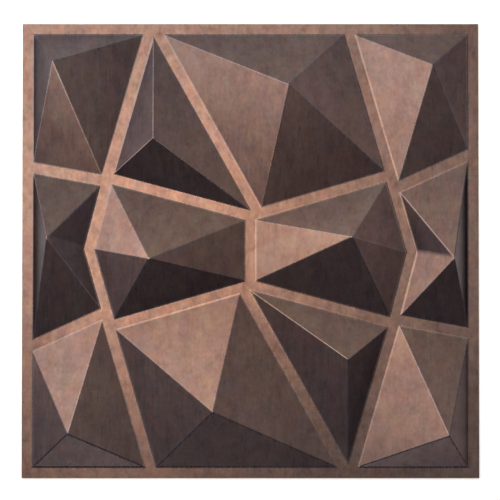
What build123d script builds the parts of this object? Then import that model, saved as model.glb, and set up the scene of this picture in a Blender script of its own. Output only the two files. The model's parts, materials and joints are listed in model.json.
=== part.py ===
"""Facet relief wall panel: one formed sheet, lying on its back with the relief upward."""

import os

from build123d import *

# Driving sizes in millimetres, peak heights measured from the face of the ribs
PANEL_SIDE = 500.0
SHEET = 1.2
BORDER = 12.0
RIB = 12.0
CORNER_PEAK = 24.0
TRIANGLE_PEAK = 22.0
LONG_PEAK = 28.0
WEDGE_PEAK = 19.0
SIDE_PEAK = 26.0
CENTRE_PEAK = 30.0

HALF = PANEL_SIDE / 2

# Rib ends and bends as shares of half the panel side, in one half of the pattern
TOP_FORK = (-0.433, 1.0)
UPPER_OUTER = (-0.634, 0.304)
UPPER_INNER = (-0.626, 0.320)
KNEE = (-0.707, 0.007)
LOWER_INNER = (-0.610, -0.330)
LOWER_OUTER = (-0.634, -0.272)
FOOT = (-0.422, -1.0)
SIDE_UPPER = (-1.0, 0.372)
SIDE_LOWER = (-1.0, -0.440)
HUB = (0.0, 0.152)

# Where the diagonal rib branches off, as a share of the length of the lower link
DIAGONAL_BRANCH = 0.942

# Peaks of one half: x and y as shares of half the panel side, and the height
PEAKS = [
    (-0.868, 0.825, CORNER_PEAK),
    (-0.426, 0.487, TRIANGLE_PEAK),
    (0.166, 0.721, LONG_PEAK),
    (0.799, 0.813, WEDGE_PEAK),
    (-0.892, 0.044, SIDE_PEAK),
    (-0.445, -0.048, CENTRE_PEAK),
]


def spot(share):
    """Point on the panel for a pair of shares of half its side."""
    return Vector(share[0] * HALF, share[1] * HALF)


# Flat ribs of one half of the pattern
with BuildSketch() as half_ribs:
    with BuildLine():
        Line(spot(TOP_FORK), spot(UPPER_OUTER))
    trace(line_width=RIB)
    with BuildLine():
        Polyline(spot(UPPER_INNER), spot(KNEE), spot(LOWER_INNER))
    trace(line_width=RIB)
    with BuildLine():
        Line(spot(LOWER_OUTER), spot(FOOT))
    trace(line_width=RIB)
    with BuildLine():
        Line(spot(SIDE_UPPER), spot(UPPER_OUTER))
    trace(line_width=RIB)
    with BuildLine():
        Line(spot(SIDE_LOWER), spot(LOWER_OUTER))
    trace(line_width=RIB)
    with BuildLine():
        Line(spot(UPPER_INNER), spot(HUB))
    trace(line_width=RIB)
    with BuildLine():
        lower_link = Line(spot(LOWER_INNER), -spot(HUB))
    trace(line_width=RIB)
    with BuildLine():
        Line(-spot(TOP_FORK), lower_link @ DIAGONAL_BRANCH)
    trace(line_width=RIB)
    with BuildLine():
        Line(spot(HUB), -spot(HUB))
    trace(line_width=RIB)

# Cells left open inside the flat border, the other half of the ribs follows by a half turn
with BuildSketch() as cells:
    Rectangle(PANEL_SIDE - 2 * BORDER, PANEL_SIDE - 2 * BORDER)
    add(half_ribs.sketch, mode=Mode.SUBTRACT)
    add(half_ribs.sketch, rotation=180, mode=Mode.SUBTRACT)

# One pyramid on every cell, with its peak over the given point
with BuildPart() as pyramids:
    for x, y, height in PEAKS:
        for foot in (spot((x, y)), -spot((x, y))):
            cell = cells.faces().sort_by_distance(foot)[0]
            loft([cell, Vertex(foot.X, foot.Y, height)], ruled=True)

# The sheet follows the pyramids, so the same pyramids one sheet lower leave its hollow back
with BuildPart() as wall_panel:
    Box(PANEL_SIDE, PANEL_SIDE, SHEET, align=(Align.CENTER, Align.CENTER, Align.MIN))
    with Locations((0, 0, SHEET)):
        add(pyramids.part)
    add(pyramids.part, mode=Mode.SUBTRACT)

wall_panel.part.label = "wall_panel"

os.makedirs("parts", exist_ok=True)
export_step(wall_panel.part, "parts/wall_panel.step")
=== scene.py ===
"""Looks of the facet relief wall panel, lying on a pale floor and seen from above."""

import json
import math

import bpy
from mathutils import Matrix, Vector
from mathutils.geometry import intersect_point_line

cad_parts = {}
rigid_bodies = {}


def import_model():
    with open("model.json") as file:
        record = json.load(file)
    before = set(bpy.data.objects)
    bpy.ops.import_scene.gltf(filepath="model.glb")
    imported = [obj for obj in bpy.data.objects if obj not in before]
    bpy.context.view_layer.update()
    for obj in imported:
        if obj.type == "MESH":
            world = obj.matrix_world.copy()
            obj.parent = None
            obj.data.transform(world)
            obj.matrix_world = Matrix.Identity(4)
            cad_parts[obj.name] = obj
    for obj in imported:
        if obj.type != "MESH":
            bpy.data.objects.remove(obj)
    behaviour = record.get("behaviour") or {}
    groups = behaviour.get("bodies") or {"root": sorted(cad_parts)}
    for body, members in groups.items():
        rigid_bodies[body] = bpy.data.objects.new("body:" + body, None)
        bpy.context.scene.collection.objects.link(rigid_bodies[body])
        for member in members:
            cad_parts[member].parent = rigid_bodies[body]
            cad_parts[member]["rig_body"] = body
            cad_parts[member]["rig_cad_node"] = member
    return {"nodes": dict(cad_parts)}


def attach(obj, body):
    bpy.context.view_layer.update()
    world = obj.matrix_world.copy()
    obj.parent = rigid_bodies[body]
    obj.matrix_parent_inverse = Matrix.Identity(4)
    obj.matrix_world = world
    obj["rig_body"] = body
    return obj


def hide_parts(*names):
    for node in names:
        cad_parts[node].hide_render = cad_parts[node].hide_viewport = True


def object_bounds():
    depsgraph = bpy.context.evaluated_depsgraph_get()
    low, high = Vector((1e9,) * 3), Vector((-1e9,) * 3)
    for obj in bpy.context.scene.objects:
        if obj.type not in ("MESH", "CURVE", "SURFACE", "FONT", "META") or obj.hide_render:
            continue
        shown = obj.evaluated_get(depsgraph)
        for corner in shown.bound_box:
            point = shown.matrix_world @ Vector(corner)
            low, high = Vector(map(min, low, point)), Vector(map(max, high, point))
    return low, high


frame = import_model()
cad_low, cad_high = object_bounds()

# Thickness of the sheet and height of its highest peak, in metres
SHEET = 0.0012
PEAK = cad_high[2]
# Rounds that forming and shearing leave on the sheet, in metres
VALLEY_ROUND = 0.0040
FOLD_ROUND = 0.0013
RIDGE_ROUND = 0.0010
RIM_ROUND = 0.0003
ROUND_SEGMENTS = 5
# Weight that keeps the large faces flat beside the rounds, where 50 is neutral
FACET_WEIGHT = 100
# Cosine between normals of one plane, and upward part of the normals of flats and of upright walls
ONE_PLANE = 0.9999
FLAT = 0.999
UPRIGHT = 0.05
# Gap and turn within which points and faces of the solid's mesh are merged
MERGE_GAP = 0.00002
MERGE_TURN = math.radians(0.4)

FACE_SLOT, EDGE_SLOT, FOLD_SLOT, RIB_SLOT, BACK_SLOT = range(5)
# Film colours, linear
BRONZE = (0.158, 0.0905, 0.0680)
RIB_BRONZE = (0.156, 0.0868, 0.0622)
# Paler film on ridges and rim: worn edges, and painted highlight that whitens the ridge lines
EDGE_WORN_HIGHLIGHT_PALE = (0.148, 0.096, 0.079)
# Painted highlight: lighter, warmer film on the folds beside the flats
FOLD_HIGHLIGHT_WARM = (0.188, 0.114, 0.087)
# Painted shade: darker grey film for steep sides
STEEP_SHADE_GREY = (0.085, 0.063, 0.062)
BACK_DARK = (0.030, 0.024, 0.022)
BACK_LIGHT = (0.042, 0.034, 0.031)
# Roughness of the film, of its rubbed edges and of the back, and how far brush marks swing the film's
FILM_ROUGH = 0.295
RUBBED_ROUGH = 0.27
BACK_ROUGH = (0.5, 0.6)
ROUGH_SWING = 0.03
BUMP_STRENGTH = 0.05
BUMP_HEIGHT = 0.0002

# Noises of the film: stretch along the axes, scale a metre, detail and roughness
MARKS_ALONG_Y = dict(stretch=(1.0, 0.06, 0.3), scale=480.0, detail=2.0)
MARKS_ALONG_X = dict(stretch=(0.08, 1.0, 0.3), scale=420.0, detail=2.0)
BROAD_CLOUDS = dict(stretch=(1.0, 0.75, 1.0), scale=24.0, detail=2.0)
CLOSE_CLOUDS = dict(stretch=(1.0, 0.65, 1.0), scale=105.0, detail=2.0)
FINE_GRAIN = dict(stretch=(1.0, 0.7, 1.0), scale=300.0, detail=2.0)
GREY_LEAN = dict(stretch=(1.0, 0.8, 1.0), scale=70.0, detail=4.0, rough=0.62)
OLIVE_CAST = dict(stretch=(0.9, 0.7, 1.0), scale=56.0, detail=4.0, rough=0.62)
# Middle part of a noise, which is drawn out to the full range
TONE_SPAN = (0.3, 0.7)
# Share of close clouds beside broad ones, of grain beside clouds, and of brush marks beside all of them
CLOSE_SHARE = 0.60
GRAIN_SHARE = 0.35
MARKS_SHARE = 0.16

# Upward parts of the normal between which the film turns from the painted shade's grey to bronze
STEEP_SPAN = (0.60, 0.88)
# How much painted shade darkens the film at the foot of a steep side, and painted light lightens it at its
# top
PAINTED_STEEP_FOOT_SHADE = 0.3
# Distance from the middle at which the film's painted light fades to neither side, painted light within and
# painted shade beyond
HALF_REACH = 0.15
# Distances from the middle over which the film leans from ochre to grey, and how far to each side
GREYING_SPAN = (0.05, 0.25)
GREYING = 0.12
# Way along the face in which the film grows warmer, and how much it cools from the middle outwards
WARM_WAY = (0.58, -0.82, 0.0)
RIM_COOLING = 0.5
# Patina and painted shade of facets and ribs: share of brush marks along X, contrast of the clouds, swing
# from ochre to grey, olive cast, painted shade at the feet, painted light fading outwards and drift along
# the warm way
FACET_PATINA_AND_PAINTED_SHADE = dict(
    cross=0.2,
    contrast=0.34,
    swing=0.074,
    greening=0.065,
    painted_foot_shade=0.08,
    painted_light_fade=0.59,
    drift=0.174,
)
RIB_PATINA = dict(
    cross=0.45,
    contrast=0.50,
    swing=0.080,
    greening=0.055,
    painted_foot_shade=0.0,
    painted_light_fade=0.0,
    drift=0.0,
)
BACK_CROSS = 0.3


def only(obj):
    """Makes obj the one selected and active object."""
    bpy.ops.object.select_all(action="DESELECT")
    obj.select_set(True)
    bpy.context.view_layer.objects.active = obj


def edge_round(first, second):
    """Round of the edge between two faces: rim, fold beside a flat, valley or ridge."""
    if first.normal.dot(second.normal) > ONE_PLANE:
        return 0.0
    low, high = sorted((first.normal.z, second.normal.z))
    if low < UPRIGHT and high > -UPRIGHT:
        return RIM_ROUND if high > ONE_PLANE else 0.0
    if max(high, -low) > ONE_PLANE:
        return FOLD_ROUND
    hollow = (second.center - first.center).dot(first.normal) > 0.0
    # On the back, where the normals point down, a valley of the face stands out
    return VALLEY_ROUND if hollow == (low > 0.0) else RIDGE_ROUND


def sheet_copy(node, films):
    """Copy of the formed sheet with merged faces and the films in its slots."""
    sheet = node.copy()
    sheet.data = node.data.copy()
    sheet.name = "formed_sheet"
    sheet.data.name = "formed_sheet"
    sheet.parent = None
    bpy.context.scene.collection.objects.link(sheet)
    # Marks that belong to the solid alone
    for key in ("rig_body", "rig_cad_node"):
        if key in sheet:
            del sheet[key]
    sheet.data.materials.clear()
    for film in films:
        sheet.data.materials.append(film)
    only(sheet)
    bpy.ops.object.mode_set(mode="EDIT")
    bpy.ops.mesh.select_all(action="SELECT")
    bpy.ops.mesh.remove_doubles(threshold=MERGE_GAP)
    bpy.ops.mesh.dissolve_limited(angle_limit=MERGE_TURN)
    bpy.ops.object.mode_set(mode="OBJECT")
    return sheet


def round_edges(sheet):
    """Rounds ridges, folds, valleys and rim, and gives the valleys' lines as they were before."""
    mesh = sheet.data
    beside = {}
    for face in mesh.polygons:
        for pair in face.edge_keys:
            beside.setdefault(pair, []).append(face)
    valleys = []
    weights = mesh.attributes.new("bevel_weight_edge", "FLOAT", "EDGE")
    for edge in mesh.edges:
        width = edge_round(*beside[edge.key])
        weights.data[edge.index].value = width / VALLEY_ROUND
        if width == VALLEY_ROUND:
            valleys.append([mesh.vertices[end].co.copy() for end in edge.vertices])
    bpy.ops.object.shade_smooth()
    rounded = sheet.modifiers.new("rounded", "BEVEL")
    rounded.limit_method = "WEIGHT"
    rounded.width = VALLEY_ROUND
    rounded.segments = ROUND_SEGMENTS
    rounded.use_clamp_overlap = False
    rounded.material = EDGE_SLOT
    bpy.ops.object.modifier_apply(modifier=rounded.name)
    weighted = sheet.modifiers.new("flat_facets", "WEIGHTED_NORMAL")
    weighted.weight = FACET_WEIGHT
    bpy.ops.object.modifier_apply(modifier=weighted.name)
    return valleys


def along_valley(point, valley):
    """Whether a point lies along a valley, within its round."""
    nearest, share = intersect_point_line(point, *valley)
    return 0.0 < share < 1.0 and (nearest - point).length < VALLEY_ROUND


def lay_films(sheet, valleys):
    """Gives the flats, the folds beside them and the back their films, and valleys the facets' film."""
    fold_top = SHEET + FOLD_ROUND
    for face in sheet.data.polygons:
        if face.normal.z < -UPRIGHT:
            face.material_index = BACK_SLOT
        elif face.normal.z > FLAT:
            face.material_index = RIB_SLOT
        elif face.material_index == EDGE_SLOT and face.center.z < fold_top:
            face.material_index = FOLD_SLOT
        elif any(along_valley(face.center, valley) for valley in valleys):
            face.material_index = FACE_SLOT


def feed(tree, socket, value):
    """Sets a socket to a plain value, or links another node's output to it."""
    if isinstance(value, bpy.types.NodeSocket):
        tree.links.new(value, socket)
    else:
        socket.default_value = value


def math_node(tree, operation, *values):
    """Output of a maths node fed with numbers or other nodes' outputs."""
    node = tree.nodes.new("ShaderNodeMath")
    node.operation = operation
    for socket, value in zip(node.inputs, values):
        feed(tree, socket, value)
    return node.outputs[0]


def vector_node(tree, operation, output, *values):
    """Output of a vector maths node."""
    node = tree.nodes.new("ShaderNodeVectorMath")
    node.operation = operation
    for socket, value in zip(node.inputs, values):
        feed(tree, socket, value)
    return node.outputs[output]


def blended(tree, share, first, second):
    """Value that is first where share is 0 and second where it is 1."""
    node = tree.nodes.new("ShaderNodeMix")
    node.data_type = "FLOAT"
    node.clamp_factor = False
    for label, value in (("Factor", share), ("A", first), ("B", second)):
        feed(tree, node.inputs[label], value)
    return node.outputs["Result"]


def mixed(tree, kind, share, first, second):
    """Colour mixed from two others, by blending or by multiplying them."""
    node = tree.nodes.new("ShaderNodeMix")
    node.data_type = "RGBA"
    node.blend_type = kind
    for label, value in (("Factor", share), ("A", first), ("B", second)):
        feed(tree, node.inputs[label], value)
    return node.outputs["Result"]


def mapped(tree, value, span, low, high):
    """Value that runs from low to high while the given value crosses its span."""
    node = tree.nodes.new("ShaderNodeMapRange")
    settings = {
        "Value": value,
        "From Min": span[0],
        "From Max": span[1],
        "To Min": low,
        "To Max": high,
    }
    for label, setting in settings.items():
        feed(tree, node.inputs[label], setting)
    return node.outputs["Result"]


def axis_part(tree, vector, axis):
    """One axis of a vector."""
    parts = tree.nodes.new("ShaderNodeSeparateXYZ")
    tree.links.new(vector, parts.inputs["Vector"])
    return parts.outputs[axis]


def stretched_noise(tree, vector, stretch, scale, detail, rough=0.5):
    """Noise drawn out along one axis, as a value from 0 to 1."""
    mapping = tree.nodes.new("ShaderNodeMapping")
    mapping.inputs["Scale"].default_value = stretch
    noise = tree.nodes.new("ShaderNodeTexNoise")
    noise.inputs["Scale"].default_value = scale
    noise.inputs["Detail"].default_value = detail
    noise.inputs["Roughness"].default_value = rough
    tree.links.new(vector, mapping.inputs["Vector"])
    tree.links.new(mapping.outputs["Vector"], noise.inputs["Vector"])
    return noise.outputs["Fac"]


def new_group(name, inputs, outputs):
    """Shader node group with named inputs and outputs, and the sockets of its two end nodes."""
    group = bpy.data.node_groups.new(name, "ShaderNodeTree")
    for label, kind in inputs:
        group.interface.new_socket(label, in_out="INPUT", socket_type="NodeSocket" + kind)
    for label, kind in outputs:
        group.interface.new_socket(label, in_out="OUTPUT", socket_type="NodeSocket" + kind)
    given = group.nodes.new("NodeGroupInput").outputs
    result = group.nodes.new("NodeGroupOutput").inputs
    return group, given, result


def place_group(tree, group, **values):
    """Places a node group in a material and gives its outputs."""
    node = tree.nodes.new("ShaderNodeGroup")
    node.node_tree = group
    for label, value in values.items():
        feed(tree, node.inputs[label], value)
    return node.outputs


def brush_marks_group():
    """Fine brush marks along Y, crossed by a share of marks along X."""
    inputs = [("Vector", "Vector"), ("Cross", "Float")]
    group, given, result = new_group("brush_marks", inputs, [("Marks", "Float")])
    along_y = stretched_noise(group, given["Vector"], **MARKS_ALONG_Y)
    along_x = stretched_noise(group, given["Vector"], **MARKS_ALONG_X)
    feed(group, result["Marks"], blended(group, given["Cross"], along_y, along_x))
    return group


def patina_group():
    """Cloudy patina: how light the film is, its lean from ochre to grey, and from pink to olive."""
    outputs = [("Clouds", "Float"), ("Lean", "Float"), ("Olive", "Float")]
    group, given, result = new_group("patina_clouds", [("Vector", "Vector")], outputs)
    place = given["Vector"]
    broad = stretched_noise(group, place, **BROAD_CLOUDS)
    close = stretched_noise(group, place, **CLOSE_CLOUDS)
    grain = stretched_noise(group, place, **FINE_GRAIN)
    clouds = blended(group, CLOSE_SHARE, broad, close)
    feed(group, result["Clouds"], blended(group, GRAIN_SHARE, clouds, grain))
    lean = stretched_noise(group, place, **GREY_LEAN)
    outward = vector_node(group, "LENGTH", "Value", place)
    greyer = mapped(group, outward, GREYING_SPAN, -GREYING, GREYING)
    feed(group, result["Lean"], math_node(group, "ADD", lean, greyer))
    feed(group, result["Olive"], stretched_noise(group, place, **OLIVE_CAST))
    return group


def film_shade_group():
    """Shade of the film: greyer on steep sides and darker at feet and rim by painted shade, cloudy, warmer
    one way.
    """
    patterns = ("Clouds", "Marks", "Lean", "Olive")
    amounts = ("Contrast", "Swing", "Greening", "Foot", "Fade", "Drift")
    inputs = [("Vector", "Vector"), ("Normal", "Vector"), ("Colour", "Color")]
    inputs += [(label, "Float") for label in patterns + amounts]
    group, given, result = new_group("film_shade", inputs, [("Colour", "Color")])
    place = given["Vector"]
    # Painted shade: steep sides turn to a darker grey
    steep = mapped(group, axis_part(group, given["Normal"], "Z"), STEEP_SPAN, 0.0, 1.0)
    base = mixed(group, "MIX", steep, (*STEEP_SHADE_GREY, 1.0), given["Colour"])
    tone = blended(group, MARKS_SHARE, given["Clouds"], given["Marks"])
    tone = mapped(group, tone, TONE_SPAN, -1.0, 1.0)
    rise = mapped(group, axis_part(group, place, "Z"), (SHEET, PEAK), -1.0, 1.0)
    inward = math_node(group, "SUBTRACT", HALF_REACH, vector_node(group, "LENGTH", "Value", place))
    light = math_node(group, "MULTIPLY_ADD", given["Contrast"], tone, 1.0)
    # Painted shade at the feet of sides and painted light at their tops, stronger on steep sides
    painted_foot_shade = math_node(group, "SUBTRACT", 1.0, steep)
    painted_foot_shade = math_node(group, "MULTIPLY_ADD", painted_foot_shade, PAINTED_STEEP_FOOT_SHADE, given["Foot"])
    # Painted shade at the feet, and painted light in the middle fading to painted shade towards the rim
    for share, value in ((painted_foot_shade, rise), (given["Fade"], inward)):
        factor = math_node(group, "MULTIPLY_ADD", share, value, 1.0)
        light = math_node(group, "MULTIPLY", light, factor)
    way = vector_node(group, "DOT_PRODUCT", "Value", place, WARM_WAY)
    way = math_node(group, "MULTIPLY_ADD", inward, RIM_COOLING, way)
    lean = mapped(group, given["Lean"], TONE_SPAN, 1.0, -1.0)
    warm = math_node(group, "MULTIPLY", given["Swing"], lean)
    warm = math_node(group, "MULTIPLY_ADD", given["Drift"], way, warm)
    olive = mapped(group, given["Olive"], TONE_SPAN, -1.0, 1.0)
    tint = group.nodes.new("ShaderNodeCombineXYZ")
    feed(group, tint.inputs["X"], math_node(group, "ADD", 1.0, warm))
    feed(group, tint.inputs["Y"], math_node(group, "MULTIPLY_ADD", given["Greening"], olive, 1.0))
    feed(group, tint.inputs["Z"], math_node(group, "SUBTRACT", 1.0, warm))
    shade = vector_node(group, "MULTIPLY", "Vector", tint.outputs["Vector"], light)
    feed(group, result["Colour"], mixed(group, "MULTIPLY", 1.0, base, shade))
    return group


def bronze(name, colour, rough, cross, contrast, swing, greening, painted_foot_shade, painted_light_fade, drift):
    """Satin bronze film with cloudy patina, fine brush marks and painted shade on steep sides, feet and
    rim.
    """
    material = bpy.data.materials.new(name)
    material.use_nodes = True
    tree = material.node_tree
    surface = tree.nodes["Principled BSDF"]
    place = tree.nodes.new("ShaderNodeTexCoord").outputs["Object"]
    normal = tree.nodes.new("ShaderNodeNewGeometry").outputs["Normal"]
    marks = place_group(tree, brush_marks, Vector=place, Cross=cross)["Marks"]
    patina = place_group(tree, patina_clouds, Vector=place)
    shade = place_group(
        tree,
        film_shade,
        Vector=place,
        Normal=normal,
        Colour=(*colour, 1.0),
        Clouds=patina["Clouds"],
        Marks=marks,
        Lean=patina["Lean"],
        Olive=patina["Olive"],
        Contrast=contrast,
        Swing=swing,
        Greening=greening,
        Foot=painted_foot_shade,
        Fade=painted_light_fade,
        Drift=drift,
    )
    feed(tree, surface.inputs["Base Color"], shade["Colour"])
    surface.inputs["Metallic"].default_value = 1.0
    roughness = mapped(tree, marks, TONE_SPAN, rough - ROUGH_SWING, rough + ROUGH_SWING)
    feed(tree, surface.inputs["Roughness"], roughness)
    bump = tree.nodes.new("ShaderNodeBump")
    bump.inputs["Strength"].default_value = BUMP_STRENGTH
    bump.inputs["Distance"].default_value = BUMP_HEIGHT
    feed(tree, bump.inputs["Height"], marks)
    feed(tree, surface.inputs["Normal"], bump.outputs["Normal"])
    return material


def plain_back():
    """Uncoated dark back of the sheet."""
    material = bpy.data.materials.new("dark_sheet_back")
    material.use_nodes = True
    tree = material.node_tree
    surface = tree.nodes["Principled BSDF"]
    place = tree.nodes.new("ShaderNodeTexCoord").outputs["Object"]
    marks = place_group(tree, brush_marks, Vector=place, Cross=BACK_CROSS)["Marks"]
    share = mapped(tree, marks, TONE_SPAN, 0.0, 1.0)
    colour = mixed(tree, "MIX", share, (*BACK_DARK, 1.0), (*BACK_LIGHT, 1.0))
    feed(tree, surface.inputs["Base Color"], colour)
    feed(tree, surface.inputs["Roughness"], mapped(tree, marks, TONE_SPAN, *BACK_ROUGH))
    return material


brush_marks = brush_marks_group()
patina_clouds = patina_group()
film_shade = film_shade_group()
films = [
    bronze("satin_bronze_face", BRONZE, FILM_ROUGH, **FACET_PATINA_AND_PAINTED_SHADE),
    # Ridges and rim: worn edges with painted highlight
    bronze("worn_highlight_bronze_edge", EDGE_WORN_HIGHLIGHT_PALE, RUBBED_ROUGH, **FACET_PATINA_AND_PAINTED_SHADE),
    # Folds beside the flats: painted highlight
    bronze("highlight_bronze_fold", FOLD_HIGHLIGHT_WARM, RUBBED_ROUGH, **FACET_PATINA_AND_PAINTED_SHADE),
    bronze("satin_bronze_rib", RIB_BRONZE, FILM_ROUGH, **RIB_PATINA),
    plain_back(),
]
sheet = sheet_copy(frame["nodes"]["wall_panel"], films)
lay_films(sheet, round_edges(sheet))
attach(sheet, "root")
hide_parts("wall_panel")

# Floor: its side, its top just under the panel, its paint and a glow that makes it white to the eye
FLOOR_SIDE = 30.0
FLOOR_TOP = -0.0003
FLOOR_WHITE = (0.94, 0.94, 0.94, 1.0)
FLOOR_GLOW = (1.0, 0.81, 0.52, 1.0)
GLOW_LEVEL = 0.41


def pale_floor():
    """White floor that takes the panel's shadow."""
    bpy.ops.mesh.primitive_plane_add(size=FLOOR_SIDE, location=(0.0, 0.0, FLOOR_TOP))
    floor = bpy.context.active_object
    floor.name = "floor"
    material = bpy.data.materials.new("pale_floor")
    material.use_nodes = True
    tree = material.node_tree
    tree.nodes.remove(tree.nodes["Principled BSDF"])
    matte = tree.nodes.new("ShaderNodeBsdfDiffuse")
    matte.inputs["Color"].default_value = FLOOR_WHITE
    glow = tree.nodes.new("ShaderNodeEmission")
    glow.inputs["Color"].default_value = FLOOR_GLOW
    path = tree.nodes.new("ShaderNodeLightPath").outputs
    seen = math_node(tree, "MAXIMUM", path["Is Camera Ray"], path["Is Glossy Ray"])
    seen = math_node(tree, "MAXIMUM", seen, path["Is Transmission Ray"])
    feed(tree, glow.inputs["Strength"], math_node(tree, "MULTIPLY", seen, GLOW_LEVEL))
    both = tree.nodes.new("ShaderNodeAddShader")
    feed(tree, both.inputs[0], matte.outputs[0])
    feed(tree, both.inputs[1], glow.outputs[0])
    feed(tree, tree.nodes["Material Output"].inputs["Surface"], both.outputs[0])
    floor.data.materials.append(material)


def soft_box(name, place, aim, size, radiance, tint):
    """Rectangular soft light, as bright as its radiance over its whole face."""
    light = bpy.data.lights.new(name, "AREA")
    light.shape = "RECTANGLE"
    light.size, light.size_y = size
    light.energy = radiance * math.pi * size[0] * size[1]
    light.color = tint
    lamp = bpy.data.objects.new(name, light)
    bpy.context.scene.collection.objects.link(lamp)
    facing = (Vector(aim) - Vector(place)).normalized()
    across = facing.cross(Vector((0.0, 1.0, 0.0))).normalized()
    along = across.cross(facing)
    turn = Matrix((across, along, -facing)).transposed().to_4x4()
    lamp.matrix_world = Matrix.Translation(place) @ turn
    lamp.visible_camera = False


# Room light: its level, and how it grows along X, along Y, upwards and towards the upper end of Y
ROOM_LEVEL = 0.396
ROOM_ALONG_X = -0.465
ROOM_ALONG_Y = 1.524
ROOM_UPWARDS = 0.671
ROOM_HIGH_Y = 0.161
# Its colours, from the low end of Y to the upper end, and the span over which they change
ROOM_COOL = (0.387, 0.530, 1.0, 1.0)
ROOM_WARM = (0.461, 0.530, 0.583, 1.0)
ROOM_WARM_SPAN = (-0.5, 1.4)
# Plain light along the horizon, which shows the panel from low sides, and where it ends upwards
HORIZON = (0.36, 0.34, 0.325)
HORIZON_SPAN = (0.10, 0.30)


def dim_room():
    """Cool room light that grows, and warms, towards the upper end of Y, over a plain horizon."""
    world = bpy.data.worlds.new("dim_room")
    bpy.context.scene.world = world
    world.use_nodes = True
    tree = world.node_tree
    room = tree.nodes["Background"]
    way = tree.nodes.new("ShaderNodeTexCoord").outputs["Generated"]
    up = math_node(tree, "MAXIMUM", axis_part(tree, way, "Z"), 0.0)
    along_y = axis_part(tree, way, "Y")
    high_y = math_node(tree, "MULTIPLY", along_y, up)
    growth = math_node(tree, "MULTIPLY", axis_part(tree, way, "X"), ROOM_ALONG_X)
    growth = math_node(tree, "MULTIPLY_ADD", along_y, ROOM_ALONG_Y, growth)
    growth = math_node(tree, "MULTIPLY_ADD", up, ROOM_UPWARDS, growth)
    growth = math_node(tree, "MULTIPLY_ADD", high_y, ROOM_HIGH_Y, growth)
    level = math_node(tree, "MULTIPLY", math_node(tree, "EXPONENT", growth), ROOM_LEVEL)
    warmth = mapped(tree, math_node(tree, "ADD", along_y, up), ROOM_WARM_SPAN, 0.0, 1.0)
    tint = mixed(tree, "MIX", warmth, ROOM_COOL, ROOM_WARM)
    dim = vector_node(tree, "MULTIPLY", "Vector", tint, level)
    low = mapped(tree, up, HORIZON_SPAN, 1.0, 0.0)
    plain = vector_node(tree, "MULTIPLY_ADD", "Vector", HORIZON, low, dim)
    feed(tree, room.inputs["Color"], plain)


# Low lights beyond two corners, which show the ribs from the other side
CORNER_REACH = 2.2
CORNER_HEIGHT = 0.85

pale_floor()
soft_box(
    "key_light",
    place=(-0.584, 0.506, 1.045),
    aim=(0.083, 1.477, 0.0),
    size=(1.638, 1.214),
    radiance=2.91,
    tint=(0.961, 0.933, 0.915),
)
soft_box(
    "near_light",
    place=(-0.135, 0.049, 0.946),
    aim=(-1.481, 0.444, 0.0),
    size=(0.256, 0.422),
    radiance=4.24,
    tint=(1.10, 0.970, 0.875),
)
soft_box(
    "low_light",
    place=(-0.063, -2.433, 0.936),
    aim=(0.254, -0.664, 0.0),
    size=(0.26, 1.32),
    radiance=4.08,
    tint=(0.90, 1.049, 1.27),
)
soft_box(
    "right_light",
    place=(1.574, 0.703, 1.377),
    aim=(-0.414, 0.463, 0.0),
    size=(0.938, 1.884),
    radiance=0.505,
    tint=(0.962, 0.947, 1.055),
)
soft_box(
    "fill_light",
    place=(1.60, -1.05, 0.95),
    aim=(0.20, -0.20, 0.0),
    size=(0.5, 0.4),
    radiance=0.8,
    tint=(0.95, 1.0, 1.0),
)
for name, side in (("low_left_light", -1.0), ("low_right_light", 1.0)):
    soft_box(
        name,
        place=(CORNER_REACH * side, -CORNER_REACH, CORNER_HEIGHT),
        aim=(0.0, 0.0, 0.0),
        size=(0.9, 1.0),
        radiance=1.0,
        tint=(1.0, 0.84, 0.70),
    )
dim_room()

# Camera: its tilt towards the low end of Y, its distance, and the width and middle of what it sees
TILT = math.radians(6.0)
DISTANCE = 10.0
FIELD = 0.5477
CENTRE = (-0.0005, 0.0006, 0.0)
SENSOR = 36.0
CLIP_END = 50.0


def camera_above():
    """Camera that looks down on the panel, a little from its lower side."""
    camera = bpy.data.objects.new("camera", bpy.data.cameras.new("camera"))
    bpy.context.scene.collection.objects.link(camera)
    camera.data.sensor_width = SENSOR
    camera.data.lens = SENSOR * DISTANCE / FIELD
    camera.data.clip_end = CLIP_END
    camera.location = Vector(CENTRE) + DISTANCE * Vector((0.0, -math.sin(TILT), math.cos(TILT)))
    camera.rotation_euler = (TILT, 0.0, 0.0)
    bpy.context.scene.camera = camera


camera_above()
bpy.context.scene.view_settings.view_transform = "Standard"
